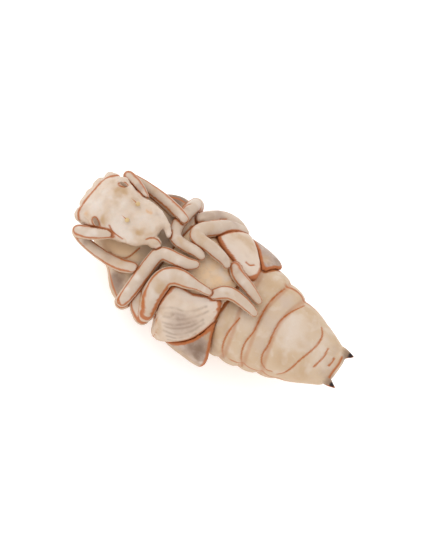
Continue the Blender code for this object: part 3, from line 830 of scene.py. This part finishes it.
def detailed(piece, node, kind, trees):
    """Presses the creases into a skin and paints where it is rusty, tinted or lined, with painted shade where
    it is turned down.
    """
    skin = skin_settings()
    points, normals = points_of(piece), normals_of(piece)
    tree = surface_tree(piece)
    width, depth = skin.seam_width / MM, skin.seam_depth / MM
    press = np.zeros(len(points))
    stria = np.zeros(len(points))
    near = distance_to_others(points, node, trees, CONTACT_REACH)
    edges = [LINE_RUST * falling(near, *CONTACT_FADE)]
    if node in SEAMS:
        away = distance_to_lines(points, tree, SEAMS[node]) / width
        edges.append(falling(away, *SEAM_RUST))
        press += depth * falling(away, *SEAM_PRESS)
    if node in STRIAE:
        stria = falling(distance_to_lines(points, tree, STRIAE[node]) / width, *STRIA_FADE)
        press += STRIA_PRESS * depth * stria
    if node in FOLDS:
        edges.append(LINE_RUST * falling(distance_to_lines(points, tree, FOLDS[node]), *FOLD_FADE))
    if kind == "limb":
        edges.append(LINE_RUST * side_lines(node, normals))
    if kind == "pad":
        edges.append(LINE_RUST * (1 - falling(roundness(piece, normals), *RIM_BEND)))
    if node == "abdomen":
        groove = ring_grooves(points)
        edges += [GROOVE_RUST * groove, LINE_RUST * flank_folds(points), spine_edge(points, normals)]
        press += GROOVE_PRESS * depth * groove
        paint_spines(piece, points)
    paint(piece, "edge", np.max(edges, axis=0))
    paint(piece, "stria", stria)
    # Painted shade: marks the skin that faces down for its tan
    paint(piece, "under", falling(normals[:, 2], *UNDERSIDE_SHADE_SLOPES))
    strayed = wandering(points, STRAY_SIZE, STRAY_REACH)
    # Tints laid where the picture shows them, among them painted highlights and painted shade
    for tint, patches in TINTS.get(node, {}).items():
        amount = np.zeros(len(points))
        for across, below, radius, strength in patches:
            hit = seen_at(tree, (across, below))[0]
            if hit is None:
                continue
            away = np.linalg.norm(strayed - np.array(hit), axis=1)
            reach = PATCH_SPREAD * radius * IMAGE_POINT
            amount = 1 - (1 - amount) * (1 - strength * falling(away, 0, reach))
        paint(piece, tint, amount)
    pressed = points - normals * press[:, None]
    pressed[:, 2] = np.maximum(pressed[:, 2], 0)
    place_points(piece, pressed)


def finished(piece, material, slot, *nodes):
    """Brings a piece to metres, shades it smooth, gives it its material and body and hides the solids it
    stands for.
    """
    sized(piece, MM)
    only(piece)
    bpy.ops.object.shade_smooth()
    piece.data.materials.clear()
    piece.data.materials.append(material)
    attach(piece, "root")
    if nodes:
        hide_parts(*nodes)
    return piece


def dressed(node, kind, material, slot, trees):
    """The skin of one node from start to finish."""
    skin = skin_settings()
    coarse = kind in ("trunk", "head")
    grain = skin.trunk_grain if coarse else skin.limb_grain
    fullness = skin.fullness * (COARSE_FULLNESS if coarse else FINE_FULLNESS)
    piece = grown_skin(node, grain, fullness, skin.unevenness)
    detailed(piece, node, kind, trees)
    return finished(piece, material, slot, node)


def horn(name, stations, sides=12):
    """A tapering horn: a circle extruded from station to station, each a place in mm and a radius."""
    places = [Vector(station[:3]) for station in stations]
    heading = (places[1] - places[0]).normalized()
    bpy.ops.object.select_all(action="DESELECT")
    bpy.ops.mesh.primitive_circle_add(
        vertices=sides, radius=stations[0][3], fill_type="NGON", location=places[0],
        rotation=heading.to_track_quat("Z", "Y").to_euler(),
    )
    piece = added(name)
    bpy.ops.object.transform_apply(location=True, rotation=True, scale=True)
    bpy.ops.object.mode_set(mode="EDIT")
    bpy.ops.mesh.select_all(action="SELECT")
    for near, far, before, after in zip(stations, stations[1:], places, places[1:]):
        bpy.ops.mesh.extrude_region_move(TRANSFORM_OT_translate={"value": after - before})
        shrink = far[3] / near[3]
        bpy.ops.transform.resize(value=(shrink, shrink, shrink), center_override=after)
        turned = (after - before).normalized()
        swing = heading.rotation_difference(turned)
        if swing.angle > 1e-4:
            bpy.ops.transform.rotate(
                value=-swing.angle, orient_axis="Z", orient_matrix=axis_matrix(swing.axis),
                orient_matrix_type="GLOBAL", center_override=after,
            )
        heading = turned
    bpy.ops.mesh.select_all(action="SELECT")
    bpy.ops.mesh.normals_make_consistent(inside=False)
    bpy.ops.object.mode_set(mode="OBJECT")
    return piece


def axis_matrix(axis):
    """Three directions, as rows, whose last one is the axis to turn about."""
    first = axis.orthogonal().normalized()
    return Matrix((first, axis.cross(first), axis))


def eye_material():
    """A smooth eye seen through thin skin."""
    material, shader, wire = new_material("veiled_eye")
    place = wire.made("ShaderNodeTexCoord", output="Object")
    cells = wire.made("ShaderNodeTexVoronoi", None, {"Vector": place, "Scale": 26 / MM})
    shade = cells.rising(0.1, 0.7) * 0.5
    tint = wire.mixed(colour("eye"), colour("dark"), shade)
    wire.tree.links.new(tint.socket, shader.inputs["Base Color"])
    wire.tree.links.new((cells * 0.2 + 0.25).socket, shader.inputs["Roughness"])
    return material


def hair_material():
    """A stiff rust-brown hair, paler towards its tip."""
    material, shader, wire = new_material("stiff_hair")
    tint = wire.mixed(colour("rust"), colour("orange"), wire.attribute("hard") * 0.35)
    wire.tree.links.new(tint.socket, shader.inputs["Base Color"])
    shader.inputs["Roughness"].default_value = 0.4
    return material


class WeevilBuild:
    """What the operators of the pieces share."""

    bl_options = {"REGISTER", "UNDO"}

    def execute(self, context):
        self.build()
        return {"FINISHED"}


class WEEVIL_OT_trunk(WeevilBuild, bpy.types.Operator):
    """Grow the skin of the prothorax, thorax and abdomen"""

    bl_idname = "weevil.trunk"
    bl_label = "Trunk"

    def build(self):
        trees = node_trees()
        dressed("prothorax", "trunk", cuticle("pronotum_cuticle", "sand"), "lilac_cuticle", trees)
        # The thorax's amber base is partly its own warm tone and partly painted light that offsets the shade
        # between the limbs
        dressed("thorax", "trunk", cuticle("breast_cuticle", "amber", "sand"), "tan_cuticle", trees)
        dressed("abdomen", "trunk", cuticle("ring_cuticle", "sand"), "beige_cuticle", trees)


class WEEVIL_OT_tail(WeevilBuild, bpy.types.Operator):
    """Model the two horny spines of the tail"""

    bl_idname = "weevil.tail"
    bl_label = "Tail Spines"

    def build(self):
        material = bpy.data.materials["ring_cuticle"]
        for name, stations in TAIL_SPINES.items():
            piece = horn(name, stations, sides=14)
            shaped_by(piece, "SUBSURF", levels=2, render_levels=2)
            points = points_of(piece)
            paint(piece, "edge", spine_edge(points, normals_of(piece)))
            paint_spines(piece, points)
            finished(piece, material, "beige_cuticle")


class WEEVIL_OT_head(WeevilBuild, bpy.types.Operator):
    """Grow the skin of the head and set its eyes"""

    bl_idname = "weevil.head"
    bl_label = "Head"

    def build(self):
        head = dressed("head", "head", cuticle("head_cuticle", "beige"), "beige_cuticle", node_trees())
        tree = surface_tree(head, MM)
        material = cuticle("tubercle_cuticle", "wax")
        for name, (seen, radius) in TUBERCLES.items():
            place, normal = seen_at(tree, seen)
            raised = Matrix.Translation(place + normal * TUBERCLE_RISE * radius)
            finished(ball(name, radius, raised), material, "beige_cuticle")
        material = eye_material()
        right, down, _ = view_axes()
        for name, (seen, long, wide, turn) in EYES.items():
            place, normal = seen_at(tree, seen)
            heading = math.cos(math.radians(turn)) * right + math.sin(math.radians(turn)) * down
            side = normal.cross(heading).normalized()
            heading = side.cross(normal)
            turned = Matrix((heading * long, side * wide, normal * EYE_RISE)).transposed().to_4x4()
            finished(ball(name, 1, Matrix.Translation(place) @ turned), material, "beige_cuticle")


class WEEVIL_OT_limbs(WeevilBuild, bpy.types.Operator):
    """Grow the skin of the legs and antennae"""

    bl_idname = "weevil.limbs"
    bl_label = "Legs and Antennae"

    def build(self):
        trees = node_trees()
        material = cuticle("limb_cuticle", "flesh", clouding=0.6)
        for node in LIMBS:
            dressed(node, "limb", material, "beige_cuticle", trees)


class WEEVIL_OT_pads(WeevilBuild, bpy.types.Operator):
    """Grow the skin of the elytra and hind wings"""

    bl_idname = "weevil.pads"
    bl_label = "Wing Pads"

    def build(self):
        trees = node_trees()
        elytron = cuticle("elytron_cuticle", "beige", clouding=0.6)
        wing = cuticle("wing_cuticle", "lilac", "dark")
        for node in PADS:
            folded = node.startswith("hind")
            slot = "lilac_cuticle" if folded else "beige_cuticle"
            dressed(node, "pad", wing if folded else elytron, slot, trees)


class WEEVIL_OT_hairs(WeevilBuild, bpy.types.Operator):
    """Model the stiff hairs on the tubercles of the snout"""

    bl_idname = "weevil.hairs"
    bl_label = "Hairs"

    def build(self):
        tree = node_trees()["head"]
        material = hair_material()
        back = view_axes()[2]
        for name, (root_seen, tip_seen) in HAIRS.items():
            root = seen_at(tree, root_seen)[0]
            tip = seen_at(tree, tip_seen)[0] + back * HAIR_LIFT
            bend = (root + tip) / 2 + back * HAIR_BOW
            stations = []
            for step in range(HAIR_STEPS + 1):
                t = step / HAIR_STEPS
                place = root * (1 - t) ** 2 + bend * 2 * t * (1 - t) + tip * t * t
                stations.append((*place, HAIR_RADIUS * (1 - HAIR_TAPER * t)))
            piece = horn(name, stations, sides=8)
            points = points_of(piece)
            paint(piece, "hard", np.linalg.norm(points - np.array(root), axis=1) / (tip - root).length)
            finished(piece, material, "beige_cuticle")


class WEEVIL_OT_stage(WeevilBuild, bpy.types.Operator):
    """Set up the pale floor, the soft light and the camera"""

    bl_idname = "weevil.stage"
    bl_label = "Stage"

    def build(self):
        stage = stage_settings()
        right, down, back = view_axes()
        bpy.ops.object.select_all(action="DESELECT")
        bpy.ops.mesh.primitive_plane_add(size=stage.floor_size, location=(0, 0, -FLOOR_DROP * MM))
        floor = bpy.context.object
        floor.name = "floor"
        bpy.ops.object.transform_apply(location=True, rotation=True, scale=True)
        material, shader, _ = new_material("pale_floor")
        shader.inputs["Base Color"].default_value = (0.95, 0.95, 0.95, 1)
        shader.inputs["Roughness"].default_value = 0.9
        shader.inputs["Emission Color"].default_value = (1, 1, 1, 1)
        shader.inputs["Emission Strength"].default_value = stage.glow
        floor.data.materials.append(material)

        world = bpy.data.worlds.new("soft_sky")
        bpy.context.scene.world = world
        world.use_nodes = True
        sky = world.node_tree.nodes["Background"]
        sky.inputs["Color"].default_value = (1, 1, 1, 1)
        sky.inputs["Strength"].default_value = stage.sky
        bpy.context.scene.view_settings.view_transform = "Standard"

        bpy.ops.object.light_add(type="AREA")
        key = bpy.context.object
        key.name = "key_light"
        key.data.shape = "DISK"
        key.data.size = KEY_SIZE
        key.data.energy = stage.key
        across, below, towards = KEY_HEADING
        heading = (right * across + down * below + back * towards).normalized()
        place = Vector(stage.aim) + KEY_DISTANCE * heading
        key.location = place
        key.rotation_euler = (place - Vector(stage.aim)).to_track_quat("Z", "Y").to_euler()

        bpy.ops.object.camera_add()
        camera = bpy.context.object
        camera.name = "camera"
        camera.data.lens = stage.lens
        camera.data.sensor_width = SENSOR
        camera.data.clip_start = MM
        camera.matrix_world = Matrix.Translation(camera_place()) @ Matrix(
            (right, -down, back)
        ).transposed().to_4x4()
        bpy.context.scene.camera = camera


class WEEVIL_PT_pupa(bpy.types.Panel):
    """Lists the steps and settings of the pupa"""

    bl_label = "Weevil Pupa"
    bl_idname = "WEEVIL_PT_pupa"
    bl_space_type = "VIEW_3D"
    bl_region_type = "UI"
    bl_category = "Weevil Pupa"

    def draw(self, context):
        for operator in OPERATORS:
            self.layout.operator(operator.bl_idname)
        for group in ("weevil_skin", "weevil_colours", "weevil_stage"):
            settings = getattr(context.scene, group)
            box = self.layout.box()
            for name in settings.__annotations__:
                box.prop(settings, name)


GROUPS = {"weevil_skin": WeevilSkin, "weevil_colours": WeevilColours, "weevil_stage": WeevilStage}
OPERATORS = (
    WEEVIL_OT_trunk, WEEVIL_OT_tail, WEEVIL_OT_head, WEEVIL_OT_limbs, WEEVIL_OT_pads, WEEVIL_OT_hairs,
    WEEVIL_OT_stage,
)


def register():
    for kind in (*GROUPS.values(), *OPERATORS, WEEVIL_PT_pupa):
        bpy.utils.register_class(kind)
    for name, kind in GROUPS.items():
        setattr(bpy.types.Scene, name, PointerProperty(type=kind))


def unregister():
    for name in GROUPS:
        delattr(bpy.types.Scene, name)
    for kind in (WEEVIL_PT_pupa, *reversed(OPERATORS), *GROUPS.values()):
        bpy.utils.unregister_class(kind)


def main():
    register()
    bpy.ops.weevil.trunk()
    bpy.ops.weevil.tail()
    bpy.ops.weevil.head()
    bpy.ops.weevil.limbs()
    bpy.ops.weevil.pads()
    bpy.ops.weevil.hairs()
    bpy.ops.weevil.stage()


if __name__ == "__main__":
    main()
